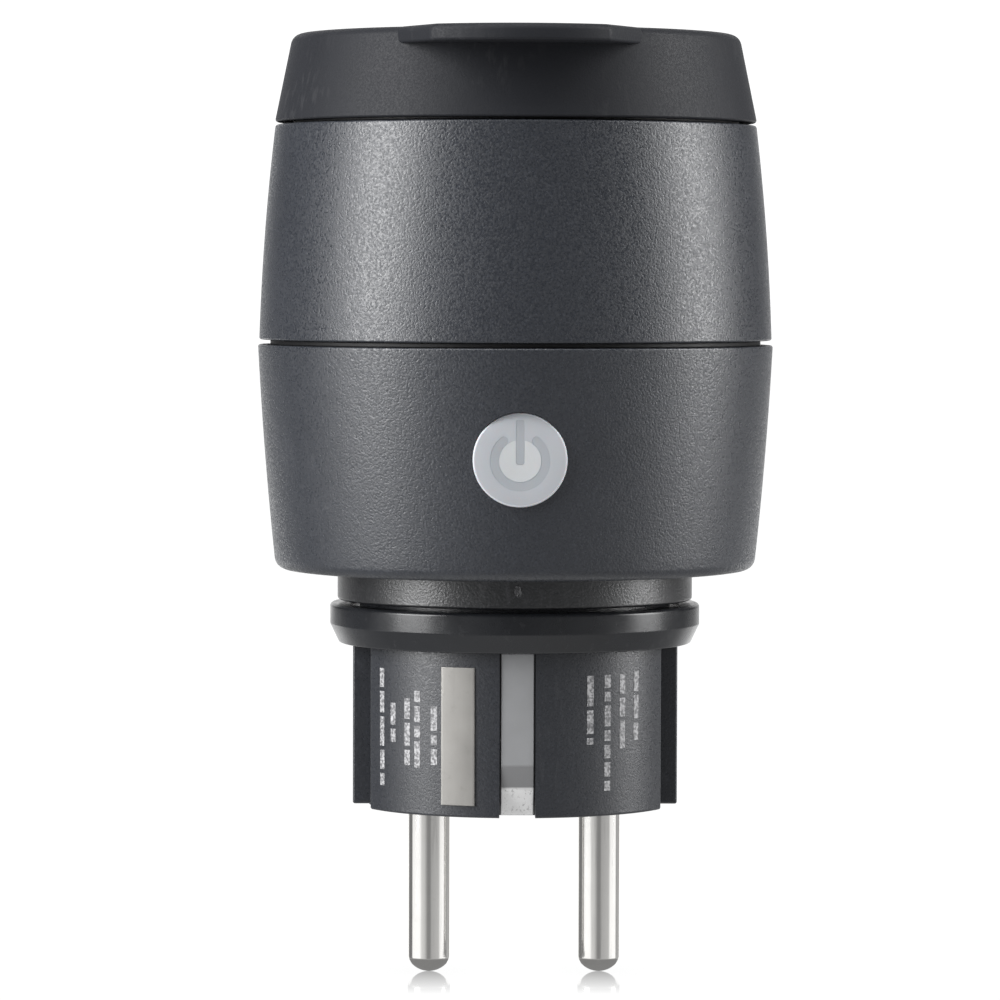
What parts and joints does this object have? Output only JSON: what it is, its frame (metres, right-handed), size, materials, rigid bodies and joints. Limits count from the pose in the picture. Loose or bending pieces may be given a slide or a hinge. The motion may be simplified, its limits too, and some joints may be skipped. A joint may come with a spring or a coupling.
{
  "type": "outdoor smart plug",
  "caption": "Barrel-shaped outdoor smart plug: earthed mains plug below, earthed socket under a sprung lid, power button on the front.",
  "frame": {"origin": "centre of the plug face that the mains pins stand out of", "axes": "+Z from the pins to the lid; +X from the line pin to the neutral pin; the button and the finger tab face -Y and the lid hinge is at +Y"},
  "size_m": [0.0574, 0.0628, 0.1046],
  "materials": {
    "housing": "satin, fine spark-eroded texture",
    "lid": "matt, very fine texture",
    "plug_plastic": "satin moulded",
    "neck_plastic": "half gloss, fine grain",
    "collar_rubber": "glossy sealing rubber",
    "seal_rubber": "black sealing rubber",
    "button_silicone": "translucent, moulded",
    "insert_plastic": "moulded, half gloss",
    "nickel": "nickel plated, polished",
    "strip_nickel": "nickel plated strip",
    "nameplate": "fine brushed, blank",
    "steel": "zinc plated",
    "spring_steel": "bright drawn wire",
    "brass": "bright",
    "circuit_board": "solder mask",
    "relay_plastic": "moulded",
    "winding": "taped winding",
    "yellow_case": "moulded case",
    "black_part": "moulded",
    "blue_part": "dipped coating",
    "fuse_body": "ceramic body",
    "led": "clear lens"
  },
  "bodies": {
    "housing": {"plug_body": "plug_plastic", "line_pin": "nickel", "neutral_pin": "nickel", "earth_strip_front": "strip_nickel", "earth_strip_rear": "strip_nickel", "earth_yoke": "strip_nickel", "earth_pin_socket": "strip_nickel", "earth_riser": "strip_nickel", "nameplate": "nameplate", "sealing_collar": "collar_rubber", "neck": "neck_plastic", "plug_screws": "steel", "lower_housing": "housing", "housing_screws": "steel", "seam_ring": "seal_rubber", "upper_housing": "housing", "socket_insert": "insert_plastic", "line_contact": "brass", "neutral_contact": "brass", "earth_clip_front": "strip_nickel", "earth_clip_rear": "strip_nickel", "earth_strap": "strip_nickel", "power_board": "circuit_board", "relay": "relay_plastic", "transformer": "winding", "film_capacitor": "yellow_case", "bulk_capacitor": "black_part", "varistor": "blue_part", "fuse": "fuse_body", "control_board": "circuit_board", "board_header": "black_part", "wifi_module": "steel", "status_leds": "led", "switch_body": "black_part", "hinge_pin": "steel", "lid_spring": "spring_steel"},
    "lid": {"lid": "lid", "lid_seal": "seal_rubber"},
    "button": {"power_button": "button_silicone", "switch_plunger": "black_part"}
  },
  "joints": [
    {"name": "lid_hinge", "type": "hinge", "parent": "housing", "child": "lid", "pos_m": [0, 0.0286, 0.07565], "axis": [-1, 0, 0], "range_deg": [0, 115], "stiffness_Nm_per_rad": 0.012, "springref_deg": -34.38, "deforming": ["lid_spring"]},
    {"name": "button_press", "type": "slide", "parent": "housing", "child": "button", "axis": [0, 1, 0], "range_m": [0, 0.0006], "stiffness_N_per_m": 2500, "springref_m": -0.0002}
  ]
}
